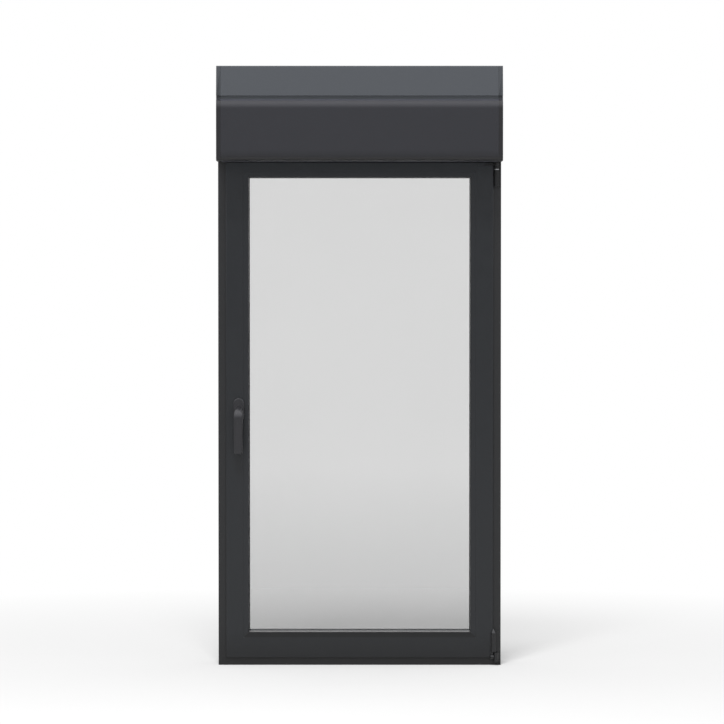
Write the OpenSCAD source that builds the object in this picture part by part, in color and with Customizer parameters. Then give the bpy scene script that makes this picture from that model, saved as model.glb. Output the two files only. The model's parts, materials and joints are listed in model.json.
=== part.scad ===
// Single-sash tilt and turn window with a roller shutter box on its head.
// The room side faces -Y, the hinges are at +X, and Z = 0 is the underside of the outer frame.

/* [Outer frame] */
// Overall width of the outer frame
frame_w = 800; // [700:10:1300]
// Overall height of the outer frame, without the box
frame_h = 1454; // [1200:2:2100]
// Depth of the outer frame
frame_d = 70; // [68:1:78]
// Width of the frame's room-side shell
frame_lip = 30; // [29:0.5:32]
// Width of the frame's outer shell beside the sash
frame_outer_face = 45; // [42:0.5:46]
// Depth of each aluminium shell, front to back
shell_d = 24; // [22:0.5:25]
// Wall thickness of the aluminium bars
wall = 2; // [1.6:0.1:2.4]
// Width of frame left visible round the sash
strip = 22; // [20:0.5:24]
// Thickness of the insulating bars
break_t = 2; // [1.6:0.1:2.4]

/* [Sash] */
// Visible width of the sash at the sides, bead included
sash_face = 64.5; // [64.5:0.5:72]
// Visible width of the sash at the foot, bead included
foot_face = 72.5; // [68:0.5:76]
// Visible width of the sash at the head, under the box
top_face = 42; // [42:0.5:48]
// How far the sash stands in front of the frame
sash_proud = 9; // [8.5:0.25:10]
// Thickness of the sash's overlapping flange
flange_t = 6.5; // [5.5:0.25:7]
// Free space between the sash and the frame for the hardware
hardware_gap = 11.5; // [11:0.25:12]
// Free space between the outer shells of the sash and the frame
outer_gap = 5; // [4.5:0.25:7]
// Width of the glazing bead
bead_w = 15; // [14:0.5:15.5]
// Wall thickness of the glazing bead
bead_wall = 1.5; // [1.2:0.1:2]
// Width of the mouth of the hardware groove
groove_mouth = 16; // [15:0.5:17]
// Width of the hardware groove behind its lips
groove_w = 21; // [20:0.5:22]
// Depth of the hardware groove, lips included
groove_d = 11; // [10.5:0.25:11]
// Thickness of the lips of the hardware groove
lip_t = 2.5; // [2:0.1:3]

/* [Glazing] */
// Thickness of each pane
pane_t = 4; // [3:0.5:6]
// Gap between the panes
pane_gap = 20; // [16:1:20]
// Depth of the pane in the sash, from the visible edge
bite = 12; // [10:0.5:12]
// Height of the spacer bar between the panes
spacer_h = 7.5; // [6.5:0.5:9]
// Thickness of the glazing gaskets
gasket_t = 3; // [2.5:0.25:4]
// Length of a setting block
block_len = 100; // [60:5:120]

/* [Handle] */
// Height of the handle's axis above the foot of the frame
handle_z = 725; // [600:1:900]
// Width of the rosette
rosette_w = 31; // [29:0.5:36]
// Height of the rosette
rosette_h = 66; // [62:1:76]
// Thickness of the rosette
rosette_t = 9; // [8:0.5:12]
// Radius of the lever's neck
neck_r = 9.5; // [8.5:0.25:10.5]
// Distance from the sash's face to the front of the lever
lever_reach = 52; // [46:1:60]
// Length of the lever from its axis to its tip
lever_len = 124; // [110:1:140]
// Width of the lever
lever_w = 26; // [21:0.5:27]
// Thickness of the lever's grip
lever_t = 13; // [11:0.5:15]
// Side of the square spindle
spindle = 7; // [6:0.5:8]

/* [Drive] */
// Teeth on the drive gear
gear_teeth = 18; // [17:1:18]
// Pitch of the teeth along the rack
tooth_pitch = 4; // [3.8:0.05:4]
// Width of the gear's teeth
gear_w = 8; // [6:0.5:8]
// Width of the drive rods
rod_w = 17; // [16:0.5:18]
// Thickness of the drive rods
rod_t = 2.5; // [2:0.1:2.5]
// Travel of the drive rods over half a turn of the handle
rod_travel = 36; // [36:1:40]
// Radius of the locking cams
cam_r = 5; // [4:0.5:6]
// Height of the lowest cam above the foot of the frame
cam_foot = 150; // [140:5:200]
// Distance from the handle's axis down to the next cam
cam_below = 210; // [180:5:240]
// Distance from the handle's axis up to the next cam
cam_above = 260; // [200:5:300]
// Distance of the end cams from the visible glass edge at the head and at the side
cam_end = 110; // [100:5:120]

/* [Hinges] */
// Distance of the hinge axis from the frame's side
hinge_inset = 13.5; // [13:0.25:14]
// Distance of the hinge axis in front of the frame's face
hinge_front = 13; // [12.5:0.25:14]
// Radius of the hinge barrels
barrel_r = 6.5; // [6:0.1:6.8]
// Radius of the upper and lower hinge pins
pin_r = 3.5; // [3:0.25:4]
// Height of the tilt axis above the foot of the frame
tilt_z = 24; // [22:0.5:25]
// Height of the upper bearing on the frame
top_bearing_h = 66; // [60:1:100]
// Length of the stay arm from the hinge axis to its slider
stay_len = 378; // [330:1:400]
// Thickness of the stay arm
stay_t = 3; // [2.5:0.1:3]

/* [Shutter box] */
// Overall height of the box
box_h = 265; // [255:1:300]
// How far the box hangs below the top of the frame on the room side
box_drop = 29; // [28:0.5:32]
// How far the box stands out in front of the frame
box_front = 136; // [130:1:160]
// How far the box reaches behind the frame
box_rear = 30; // [29:0.5:40]
// Thickness of the end caps
cap_t = 12; // [10:0.5:14]
// Wall thickness of the box panels
panel_t = 2; // [1.5:0.1:2.5]
// Height of the inspection cover on the front
inspection_h = 171.5; // [160:0.5:180]
// How far the upper cover leans back over its height
lean = 13; // [10:1:16]
// Radius along the foot of the inspection cover
cover_r = 12; // [8:0.5:13]
// Radius along the head of the inspection cover
cover_top_r = 22; // [14:1:26]
// Radius of the winding tube
tube_r = 30; // [27:0.5:31]
// Length of the tubular motor
motor_len = 545; // [420:5:560]
// Thickness of the curtain's slats
slat_t = 13; // [12:0.5:13.5]
// Turns of the curtain on the roll
curtain_turns = 3.5; // [3:0.25:4]

/* [Guide rails] */
// Width of a guide rail
rail_w = 45; // [42:0.5:46]
// Depth of a guide rail
rail_d = 27; // [25:0.5:28]
// Width of the slot that the curtain runs in
slot_w = 15; // [14.5:0.25:16]

/* [Fixings] */
// Radius of the wall fixing bores
fix_r = 5.1; // [4.1:0.1:6]
// Distance of the outer fixings from the ends of the jambs
fix_end = 200; // [150:5:300]

/* [Hidden] */
$fn = 48;
half_w = frame_w / 2;
y_in = -frame_d / 2;
y_out = frame_d / 2;
y_brk0 = y_in + shell_d;
y_brk1 = y_out - shell_d;
sash_y = y_in - sash_proud;
flange_y = sash_y + flange_t;
sash_brk0 = y_brk0 + 1;
sash_brk1 = y_brk1 + 1;
box_z = frame_h - box_drop;
box_top = box_z + box_h;
box_y0 = y_in - box_front;
box_y1 = y_out + box_rear;
sash_gap = 1.5;
sash_top = box_z - sash_gap;
day_x = half_w - strip - sash_face;
day_z0 = strip + foot_face;
day_z1 = sash_top - top_face;
sash_x = half_w - strip;
// Distances outward from the visible edge of the glass
s_lip = half_w - frame_lip - day_x;
s_groove = s_lip - hardware_gap;
arm_room = 8.5;
s_top_groove = top_face - arm_room;
s_outer = half_w - frame_outer_face - outer_gap - day_x;
s_top_outer = s_top_groove - outer_gap;
s_foot_groove = day_z0 - frame_lip - hardware_gap;
s_foot_outer = day_z0 - frame_outer_face - outer_gap;
head_lip = frame_h - (day_z1 + s_top_groove + hardware_gap);
head_outer_face = frame_h - (day_z1 + s_top_outer + outer_gap);
groove_x = day_x + s_groove;
groove_z = day_z1 + s_top_groove;
groove_y = -23.5;
// Glass
glass_y0 = 0;
glass_y1 = glass_y0 + 2 * pane_t + pane_gap;
leg_y = glass_y1 + gasket_t;
pane_x = day_x + bite;
pane_z0 = day_z0 - bite;
pane_z1 = day_z1 + bite;
spacer_s = 0.5;
// Hinge axis
hinge_x = half_w - hinge_inset;
hinge_y = y_in - hinge_front;
run_fit = 0.05;
// Drive
pitch_r = gear_teeth * tooth_pitch / (2 * PI);
module_mm = tooth_pitch / PI;
rod_x = groove_x + 0.1;
rod_z = groove_z + 0.1;
tip_r = pitch_r + module_mm;
// The gear stands as near the bead as it can, and the rack's back makes up the distance to the rod
rack_back = min(6, rod_x - 1.25 * module_mm - pitch_r - (day_x + bead_w + tip_r + 0.3));
rack_pitch_x = rod_x - rack_back - 1.25 * module_mm;
gear_x = rack_pitch_x - pitch_r;
case_t = 14;
case_h = 64;
cam_h = 5.7;
// Roll
roll_y = -47;
roll_z = box_z + 146;
slat_pitch = slat_t + 1.2;
slot_y = y_out + rail_d / 2;
// Stay arm
arm_z = groove_z + 0.6;
arm_y = groove_y - hinge_y;
arm_w = 13;
slide_x = hinge_x - stay_len;
inf = 400;

// A straight bar on one side of a rectangle; the child is its section, X outward and Y front to back
module bar(side, hx, z0, z1) {
    mid = (z0 + z1) / 2;
    if (side == "left")
        translate([-hx, 0, mid]) mirror([1, 0, 0]) linear_extrude(z1 - z0 + inf, center = true) children();
    if (side == "right")
        translate([hx, 0, mid]) linear_extrude(z1 - z0 + inf, center = true) children();
    if (side == "top")
        translate([0, 0, z1]) rotate([0, -90, 0]) linear_extrude(2 * hx + inf, center = true) children();
    if (side == "bottom")
        translate([0, 0, z0]) mirror([0, 0, 1]) rotate([0, -90, 0])
            linear_extrude(2 * hx + inf, center = true) children();
}

// The mitred part of a rectangular ring that one side fills
module mitre(side, hx, z0, z1, in_x, in_z0, in_z1) {
    k = 2;
    ax = hx - k * (hx - in_x);
    az0 = z0 + k * (in_z0 - z0);
    az1 = z1 - k * (z1 - in_z1);
    rotate([90, 0, 0]) linear_extrude(inf, center = true) {
        if (side == "left") polygon([[-hx, z0], [-ax, az0], [-ax, az1], [-hx, z1]]);
        if (side == "right") polygon([[hx, z0], [hx, z1], [ax, az1], [ax, az0]]);
        if (side == "top") polygon([[-hx, z1], [-ax, az1], [ax, az1], [hx, z1]]);
        if (side == "bottom") polygon([[-hx, z0], [hx, z0], [ax, az0], [-ax, az0]]);
    }
}

// One bar of the outer frame: the child's X runs from 0 at the outer edge to negative values inward
module frame_bar(side) {
    intersection() {
        bar(side, half_w, 0, frame_h) children();
        mitre(side, half_w, 0, frame_h, half_w - frame_lip, frame_lip, frame_h - head_lip);
    }
}

// One bar of the sash: the child's X is the distance outward from the visible edge of the glass
module sash_bar(side) {
    intersection() {
        bar(side, day_x, day_z0, day_z1) children();
        mitre(side, sash_x, strip, sash_top, day_x, day_z0, day_z1);
    }
}

module rect(x0, x1, y0, y1) {
    translate([x0, y0]) square([x1 - x0, y1 - y0]);
}

module block(x0, x1, y0, y1, z0, z1) {
    translate([x0, y0, z0]) cube([x1 - x0, y1 - y0, z1 - z0]);
}

// A cylinder along X from x0 to x1
module rod_along_x(r, x0, x1, y, z) {
    translate([x0, y, z]) rotate([0, 90, 0]) cylinder(r = r, h = x1 - x0);
}

// A cylinder along Y from y0 to y1
module rod_along_y(r, x, y0, y1, z) {
    translate([x, y0, z]) rotate([-90, 0, 0]) cylinder(r = r, h = y1 - y0);
}

// Outer frame

module frame_shell_section(face) {
    difference() {
        polygon([[0, y_in], [0, y_brk0], [-face, y_brk0], [-face, y_in + 1], [-face + 1, y_in]]);
        rect(-face + wall, -wall, y_in + wall, y_brk0 - wall);
    }
}

module frame_outer_section(face) {
    mid = face / 2;
    difference() {
        polygon([[0, y_brk1], [0, y_out], [-face + 1, y_out], [-face, y_out - 1], [-face, y_brk1]]);
        rect(-mid + wall / 2 - 1, -wall, y_brk1 + wall, y_out - wall);
        rect(-face + wall, -mid - wall / 2 - 1, y_brk1 + wall, y_out - wall);
    }
}

function fix_heights() = [fix_end, frame_h / 2, frame_h - fix_end];

module fixing_holes(side) {
    y_fix = (y_in + y_brk0) / 2;
    x0 = side == "left" ? -half_w - 1 : half_w - frame_lip - 1;
    for (z = fix_heights()) rod_along_x(fix_r, x0, x0 + frame_lip + 2, y_fix, z);
}

module frame_left() {
    color("#3a3d40") difference() {
        frame_bar("left") frame_shell_section(frame_lip);
        fixing_holes("left");
    }
}

module frame_right() {
    color("#3a3d40") difference() {
        frame_bar("right") frame_shell_section(frame_lip);
        fixing_holes("right");
    }
}

module frame_head() {
    color("#3a3d40") frame_bar("top") frame_shell_section(head_lip);
}

module frame_sill() {
    color("#3a3d40") frame_bar("bottom") frame_shell_section(frame_lip);
}

module frame_outer_shells() {
    color("#35383b") {
        frame_bar("left") frame_outer_section(frame_outer_face);
        frame_bar("right") frame_outer_section(frame_outer_face);
        frame_bar("top") frame_outer_section(head_outer_face);
        difference() {
            frame_bar("bottom") frame_outer_section(frame_outer_face);
            for (x = drain_places()) drain_slot(x);
        }
    }
}

function drain_places() = [-half_w * 0.55, half_w * 0.55];

module drain_slot(x) {
    block(x - 14, x + 14, y_out - wall - 1, y_out + 1, 10, 15);
}

module frame_insulating_bars() {
    color("#1c1c1e") for (side = ["left", "right", "top", "bottom"])
        frame_bar(side) for (u = [0, 22]) rect(-u - break_t, -u, y_brk0, y_brk1);
}

module frame_corner_cleats() {
    c = 0.1;
    leg = 60;
    face = min(head_lip, frame_lip);
    color("#8d9094") for (mx = [0, 1], top = [0, 1])
        mirror([mx, 0, 0]) translate([-half_w, 0, top * frame_h]) mirror([0, 0, top])
            rotate([90, 0, 0]) translate([0, 0, -(y_brk0 - wall - c)])
                linear_extrude(shell_d - 2 * wall - 2 * c) difference() {
                    rect(wall + c, leg, wall + c, leg);
                    rect(face - wall - c, leg + 1, face - wall - c, leg + 1);
                }
}

module centre_gasket() {
    color("#111111") for (side = ["left", "right", "top", "bottom"]) {
        face = side == "top" ? head_outer_face : frame_outer_face;
        frame_bar(side) translate([-face, 0]) polygon([
            [9, y_brk1], [1, y_brk1], [-1, y_brk1 - 8], [1, y_brk1 - 9], [5, y_brk1 - 3], [9, y_brk1 - 3]
        ]);
    }
}

// Strikers are screwed to the rebate of the left jamb and the head, one below each cam's path
function cam_heights() = [cam_foot, handle_z - cam_below, handle_z + cam_above, day_z1 - cam_end];

function top_cam_x() = -day_x + cam_end + 40;

striker_t = 2.2;

module striker_plate() {
    difference() {
        union() {
            translate([-33, -9, 0]) cube([66, 18, striker_t]);
            for (m = [0, 1]) mirror([m, 0, 0]) translate([24, -9, striker_t])
                rotate([-90, 0, 0]) linear_extrude(18) polygon([[0, 0], [9, 0], [9, -1.2], [3, -1.2]]);
        }
        for (x = [-28, 28]) translate([x, 0, -1]) cylinder(r = 2.1, h = striker_t + 4);
    }
}

module strikers() {
    color("#b9bcbf") {
        for (z = cam_heights()) translate([-half_w + frame_lip, groove_y, z - rod_travel / 2])
            rotate([0, 90, 0]) striker_plate();
        translate([top_cam_x() - rod_travel / 2, groove_y, frame_h - head_lip]) rotate([180, 0, 0])
            striker_plate();
    }
}

module fixing_sleeves() {
    y_fix = (y_in + y_brk0) / 2;
    color("#8d9094") for (m = [0, 1], z = fix_heights()) mirror([m, 0, 0]) difference() {
        rod_along_x(fix_r + 3.4, half_w - frame_lip + wall, half_w - wall, y_fix, z);
        rod_along_x(fix_r, half_w - frame_lip, half_w, y_fix, z);
    }
}

module drain_caps() {
    color("#2b2d2f") for (x = drain_places()) difference() {
        rotate([90, 0, 90]) translate([0, 0, x - 20]) linear_extrude(40)
            polygon([[y_out, 5], [y_out + 2, 5], [y_out + 6, 8], [y_out + 6, 14], [y_out, 20]]);
        block(x - 18, x + 18, y_out - 1, y_out + 4, 4, 14);
    }
}

// Sash

module groove_void(sg) {
    rect(sg - groove_d, sg - lip_t, groove_y - groove_w / 2, groove_y + groove_w / 2);
    rect(sg - lip_t - 1, sg + 1, groove_y - groove_mouth / 2, groove_y + groove_mouth / 2);
}

module sash_section(sg, sf) {
    edge = 1;
    difference() {
        union() {
            rect(bead_w, sg, sash_y, sash_brk0);
            rect(bead_w, sf - edge, sash_y, flange_y);
            rect(sf - edge - 1, sf, sash_y + edge, flange_y);
            translate([sf - edge, sash_y + edge]) circle(r = edge);
        }
        groove_void(sg);
        if (sg - groove_d - wall > bead_w + wall + 2)
            rect(bead_w + wall, sg - groove_d - wall, sash_y + wall, sash_brk0 - wall);
    }
}

module sash_outer_section(so) {
    difference() {
        union() {
            rect(bead_w, so, sash_brk1, y_out);
            rect(0, bead_w + 1, leg_y, y_out);
        }
        rect(bead_w + wall, so - wall, sash_brk1 + wall, y_out - wall);
    }
}

// The rails differ in depth from the stiles, so their ends are trimmed to the stiles behind the flange
module rail_ends(s_side, y0, y1) {
    for (m = [0, 1]) mirror([m, 0, 0]) block(day_x + s_side, half_w, y0, y1, 0, frame_h);
}

// Room for the stay arm, which passes over the flange beside the upper hinge
module stay_notch() {
    block(hinge_x - 52, sash_x + 1, sash_y - 1, flange_y + 0.01, groove_z, sash_top + 1);
}

module gear_pocket() {
    block(-groove_x - 1, -day_x - bead_w + 1, groove_y - case_t / 2 - 0.2, groove_y + case_t / 2 + 0.2,
        handle_z - case_h / 2 - 0.3, handle_z + case_h / 2 + 0.3);
}

screw_z = 21.5;
screw_r = 2.5;

module sash_left() {
    color("#3d4043") difference() {
        sash_bar("left") sash_section(s_groove, sash_face);
        gear_pocket();
        rod_along_y(hub_r, -gear_x, sash_y - 1, groove_y, handle_z);
        for (m = [-1, 1]) rod_along_y(screw_r + 0.2, -gear_x, sash_y - 1, groove_y, handle_z + m * screw_z);
    }
}

module sash_right() {
    color("#3d4043") difference() {
        sash_bar("right") sash_section(s_groove, sash_face);
        stay_notch();
        hinge_recess();
    }
}

module sash_top() {
    color("#3d4043") difference() {
        sash_bar("top") sash_section(s_top_groove, top_face);
        stay_notch();
        rail_ends(s_groove, flange_y, sash_brk0 + 1);
    }
}

module sash_bottom() {
    color("#3d4043") difference() {
        sash_bar("bottom") sash_section(s_foot_groove, foot_face);
        hinge_recess();
        rail_ends(s_groove, flange_y, sash_brk0 + 1);
    }
}

module sash_outer_shells() {
    color("#35383b") {
        for (side = ["left", "right"]) sash_bar(side) sash_outer_section(s_outer);
        difference() {
            union() {
                sash_bar("top") sash_outer_section(s_top_outer);
                sash_bar("bottom") sash_outer_section(s_foot_outer);
            }
            rail_ends(s_outer, sash_brk1 - 1, y_out + 1);
        }
    }
}

module sash_insulating_bars() {
    color("#1c1c1e") {
        for (side = ["left", "right"]) sash_bar(side) sash_insulating_section(s_outer);
        difference() {
            union() {
                sash_bar("top") sash_insulating_section(s_top_outer);
                sash_bar("bottom") sash_insulating_section(s_foot_outer);
            }
            rail_ends(s_outer, sash_brk0 - 1, sash_brk1 + 1);
        }
    }
}

module sash_insulating_section(so) {
    rect(bead_w + wall, bead_w + wall + break_t, sash_brk0, sash_brk1);
    rect(so - break_t - 0.5, so - 0.5, sash_brk0, sash_brk1);
}

module sash_corner_cleats() {
    c = 0.1;
    leg = 60;
    a = day_x + bead_w + wall + c;
    b = day_x + s_groove - groove_d - wall - c;
    az = strip + (sash_x - a) * foot_face / sash_face - c;
    bz = day_z0 - s_foot_groove + groove_d + wall + c;
    color("#8d9094") for (m = [0, 1]) mirror([m, 0, 0]) intersection() {
        rotate([90, 0, 0]) translate([0, 0, -(sash_brk0 - wall - c)])
            linear_extrude(sash_brk0 - sash_y - 2 * wall - 2 * c) difference() {
                rect(a - leg, b, bz, day_z0 + leg);
                rect(a - leg - 1, a, az, day_z0 + leg + 1);
            }
        block(0, sash_x, sash_y, y_out, 0, day_z0 + leg);
    }
}

module overlap_gasket() {
    seat = 7;
    color("#111111") difference() {
        union() for (side = ["left", "right", "bottom"]) {
            face = side == "bottom" ? foot_face : sash_face;
            sash_bar(side) rect(face - seat, face - seat + 5, flange_y, y_in - 0.5);
        }
        block(0, half_w, sash_y, y_in, groove_z - 6, frame_h);
    }
}

module bead_section() {
    difference() {
        polygon([
            [0, sash_y + 1.5], [1.5, sash_y], [bead_w, sash_y],
            [bead_w, glass_y0 - gasket_t], [0, glass_y0 - gasket_t]
        ]);
        rect(bead_wall, bead_w - bead_wall, sash_y + bead_wall, glass_y0 - gasket_t - bead_wall);
    }
}

module bead_bar(side) {
    color("#3d4043") intersection() {
        bar(side, day_x, day_z0, day_z1) bead_section();
        mitre(side, day_x + 60, day_z0 - 60, day_z1 + 60, day_x, day_z0, day_z1);
    }
}

module bead_left() bead_bar("left");

module bead_right() bead_bar("right");

module bead_top() bead_bar("top");

module bead_bottom() bead_bar("bottom");

// A rectangular ring about the glass, s0 to s1 outward from the visible edge, y0 to y1 in depth
module ring(s0, s1, y0, y1) {
    difference() {
        block(-day_x - s1, day_x + s1, y0, y1, day_z0 - s1, day_z1 + s1);
        block(-day_x - s0, day_x + s0, y0 - 1, y1 + 1, day_z0 - s0, day_z1 + s0);
    }
}

module inner_gasket() {
    color("#111111") ring(-1, 6, glass_y0 - gasket_t, glass_y0);
}

module outer_gasket() {
    color("#111111") ring(-1, 6, glass_y1, leg_y);
}

module inner_pane() {
    color("#cfd8d8", 0.4) block(-pane_x, pane_x, glass_y0, glass_y0 + pane_t, pane_z0, pane_z1);
}

module outer_pane() {
    color("#cfd8d8", 0.4) block(-pane_x, pane_x, glass_y1 - pane_t, glass_y1, pane_z0, pane_z1);
}

module spacer_bar() {
    color("#b4b7b9") ring(spacer_s, spacer_s + spacer_h, glass_y0 + pane_t, glass_y1 - pane_t);
}

module edge_seal() {
    color("#232325") ring(spacer_s + spacer_h, bite, glass_y0 + pane_t, glass_y1 - pane_t);
}

module setting_blocks() {
    color("#2f5a86") {
        for (m = [-1, 1]) translate([m * (pane_x - 110), 0, 0])
            block(-block_len / 2, block_len / 2, glass_y0, glass_y1, day_z0 - bead_w, pane_z0);
        for (m = [0, 1]) mirror([m, 0, 0]) {
            z = m == 0 ? pane_z0 + 40 : pane_z1 - 40 - block_len;
            block(pane_x, day_x + bead_w, glass_y0, glass_y1, z, z + block_len);
        }
    }
}

// Handle

module stadium(w, h) {
    for (m = [-1, 1]) translate([0, m * (h - w) / 2]) circle(r = w / 2);
    square([w, h - w], center = true);
}

// Places a drawing of X and Z at the handle's axis and raises it from y0 to y1
module handle_plate(y0, y1) {
    translate([-gear_x, y1, handle_z]) rotate([90, 0, 0]) linear_extrude(y1 - y0) children();
}

module rosette() {
    color("#37383d") difference() {
        union() {
            handle_plate(sash_y - rosette_t + 2, sash_y) stadium(rosette_w, rosette_h);
            handle_plate(sash_y - rosette_t, sash_y) stadium(rosette_w - 3, rosette_h - 3);
            rod_along_y(rosette_w / 2 - 2.5, -gear_x, sash_y - rosette_t - 2.5, sash_y, handle_z);
        }
        rod_along_y(neck_r + run_fit, -gear_x, sash_y - rosette_t - 5, sash_y - 3, handle_z);
        rod_along_y(7, -gear_x, sash_y - 5, sash_y + 1, handle_z);
        for (m = [-1, 1]) {
            rod_along_y(screw_r + 0.1, -gear_x, sash_y - rosette_t - 5, sash_y + 1, handle_z + m * screw_z);
            rod_along_y(4.8, -gear_x, sash_y - rosette_t - 5, sash_y - 4, handle_z + m * screw_z);
        }
    }
}

module rosette_screws() {
    color("#b9bcbf") for (m = [-1, 1]) {
        rod_along_y(screw_r, -gear_x, sash_y - 4, groove_y - case_t / 2 - 0.2, handle_z + m * screw_z);
        rod_along_y(screw_r - 0.5, -gear_x, sash_y, groove_y - gear_w / 2 - 1, handle_z + m * screw_z);
        difference() {
            rod_along_y(4.6, -gear_x, sash_y - 7, sash_y - 4, handle_z + m * screw_z);
            translate([-gear_x, sash_y - 5.5, handle_z + m * screw_z]) rotate([90, 0, 0])
                cylinder(r = 2, h = 4, $fn = 6);
        }
    }
}

lever_y = sash_y - lever_reach;

// Side view of the lever: Y front to back, Z up from its axis; its shoulder slopes back to the neck
module lever_side() {
    back = lever_y + lever_t;
    top = neck_r + 2.5;
    fall = 20;
    rise = 18;
    n = 12;
    polygon(concat(
        [[back + 6, top], [back + 6, -neck_r - 1]],
        [for (i = [0:n]) let (t = i / n) [
            back + 5 * (1 - t) * (1 - t) - 2 * sin(180 * t), -neck_r - 1 - t * (lever_len - neck_r - 1)
        ]],
        [for (i = [n:-1:0]) let (t = i / n) [lever_y + 1 - sin(180 * t), -t * (lever_len - fall) - fall]],
        [for (i = [1:n]) let (t = i / n) [lever_y + 1 + rise * t * t, -fall + (top + fall) * t]]
    ));
}

// Front view of the lever: wide at the neck, narrow in the middle and a little wider at its round tip
module lever_front() {
    wide = lever_w / 2;
    tip = wide - 0.5;
    n = 12;
    circle(r = wide);
    translate([0, -lever_len + tip]) circle(r = tip);
    polygon(concat(
        [for (i = [0:n]) let (t = i / n) [
            wide * (1 - t) + tip * t - 1.2 * sin(180 * t), -t * (lever_len - tip)
        ]],
        [for (i = [n:-1:0]) let (t = i / n) [
            -wide * (1 - t) - tip * t + 1.2 * sin(180 * t), -t * (lever_len - tip)
        ]]
    ));
}

module lever() {
    color("#42434a") difference() {
        union() {
            rod_along_y(neck_r, -gear_x, lever_y + 6, sash_y - 3.5, handle_z);
            intersection() {
                translate([-gear_x, 0, handle_z]) rotate([90, 0, 90])
                    linear_extrude(lever_w + 20, center = true) lever_side();
                handle_plate(lever_y - 10, sash_y) lever_front();
            }
        }
        spindle_block(spindle + 2 * run_fit, sash_y - 26, sash_y);
    }
}

module spindle_block(side, y0, y1) {
    block(-gear_x - side / 2, -gear_x + side / 2, y0, y1, handle_z - side / 2, handle_z + side / 2);
}

module spindle_bar() {
    color("#9a9da0") spindle_block(spindle, sash_y - 25, groove_y + case_t / 2);
}

// Drive

pressure = 20;
tooth_fill = 0.46;

function involute(r, rb) = r <= rb ? 0 : let (a = acos(rb / r)) tan(a) - a * PI / 180;

module gear_outline() {
    ra = pitch_r + module_mm;
    rf = pitch_r - 1.25 * module_mm;
    rb = pitch_r * cos(pressure);
    half = 180 / gear_teeth * tooth_fill;
    steps = 4;
    inv_p = involute(pitch_r, rb);
    function at(r, a) = [r * cos(a), r * sin(a)];
    function flank(i) = rb + (ra - rb) * i / steps;
    function spread(r) = half + (inv_p - involute(r, rb)) * 180 / PI;
    polygon([for (t = [0:gear_teeth - 1]) let (c = t * 360 / gear_teeth) each concat(
        [at(rf, c - spread(rb))],
        [for (i = [0:steps]) at(flank(i), c - spread(flank(i)))],
        [for (i = [steps:-1:0]) at(flank(i), c + spread(flank(i)))],
        [at(rf, c + spread(rb))]
    )]);
}

module drive_gear() {
    color("#a8863a") difference() {
        union() {
            translate([-gear_x, groove_y + gear_w / 2, handle_z]) rotate([90, 0, 0])
                linear_extrude(gear_w) rotate(180) gear_outline();
            rod_along_y(hub_r, -gear_x, groove_y - case_t / 2 + 0.2, groove_y + case_t / 2 - 0.2, handle_z);
        }
        spindle_block(spindle + 2 * run_fit, groove_y - case_t, groove_y + case_t);
    }
}

hub_r = 8;

module gear_case() {
    x0 = -groove_x + 0.2;
    x1 = -day_x - bead_w - 0.2;
    cheek = gear_w / 2 + 0.3;
    front = groove_y - case_t / 2;
    room = tip_r + 0.4;
    color("#8d9094") difference() {
        block(x0, x1, front, front + case_t, handle_z - case_h / 2, handle_z + case_h / 2);
        rod_along_y(room, -gear_x, groove_y - cheek, groove_y + cheek, handle_z);
        block(x0 - 1, -gear_x, groove_y - cheek, groove_y + cheek, handle_z - room, handle_z + room);
        block(x0 - 1, -rack_pitch_x + module_mm + 0.6, groove_y - cheek, groove_y + cheek, 0, frame_h);
        block(-gear_x, x1 + 1, groove_y - cheek, groove_y + cheek, handle_z - 7, handle_z + 7);
        rod_along_y(hub_r + run_fit, -gear_x, groove_y - case_t, groove_y + case_t, handle_z);
        for (m = [-1, 1])
            rod_along_y(2.1, -gear_x, front - 1, groove_y - cheek + 1, handle_z + m * screw_z);
    }
}

// A tee that holds a rod in the hardware groove; it reaches along -Z from the rod's inner face
module glider() {
    neck = lip_t + 0.4;
    translate([-7, -groove_mouth / 2 + 0.25, -neck]) cube([14, groove_mouth - 0.5, neck]);
    translate([-7, -groove_w / 2 + 0.3, -neck - 2.2]) cube([14, groove_w - 0.6, 2.2]);
}

module rack() {
    p = tooth_pitch;
    top = p / 2 * tooth_fill - module_mm * tan(pressure);
    foot = p / 2 * tooth_fill + 1.25 * module_mm * tan(pressure);
    n = ceil(rod_travel / p) + 2;
    crest = rack_back + 2.25 * module_mm;
    w = gear_w - 0.6;
    translate([-rod_x, groove_y + w / 2, handle_z]) rotate([90, 0, 0]) linear_extrude(w)
        polygon(concat(
            [[-0.5, (n + 1) * p], [-0.5, -3 * p], [rack_back, -3 * p]],
            [for (i = [-3:n]) let (z = (i + 0.5) * p) each [
                [rack_back, z - foot], [crest, z - top], [crest, z + top], [rack_back, z + foot]
            ]],
            [[rack_back, (n + 1) * p]]
        ));
}

corner_leg = 70;
rod_end_gap = 0.5;

module side_rod() {
    z0 = strip + 58;
    z1 = groove_z - corner_leg - rod_end_gap;
    color("#b9bcbf") difference() {
        union() {
            block(-rod_x - rod_t, -rod_x, groove_y - rod_w / 2, groove_y + rod_w / 2, z0, z1);
            rack();
            for (z = [z0 + 20, handle_z - 150, handle_z + 150, z1 - 20])
                translate([-rod_x, groove_y, z]) rotate([0, -90, 0]) glider();
        }
        for (z = cam_heights()) rod_along_x(2.5, -rod_x - rod_t - 1, -rod_x + 1, groove_y, z);
    }
}

// A cam stands on its rod and is riveted through it; Z runs away from the sash
module cam() {
    translate([0, 0, rod_t]) {
        cylinder(r = cam_r, h = cam_h - 1.5);
        translate([0, 0, cam_h - 1.5]) cylinder(r = cam_r + 0.8, h = 1.5);
    }
    cylinder(r = 2.45, h = rod_t + 0.5);
}

module side_cams() {
    color("#d0d2d4") for (z = cam_heights()) translate([-rod_x, groove_y, z]) rotate([0, -90, 0]) cam();
}

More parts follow.
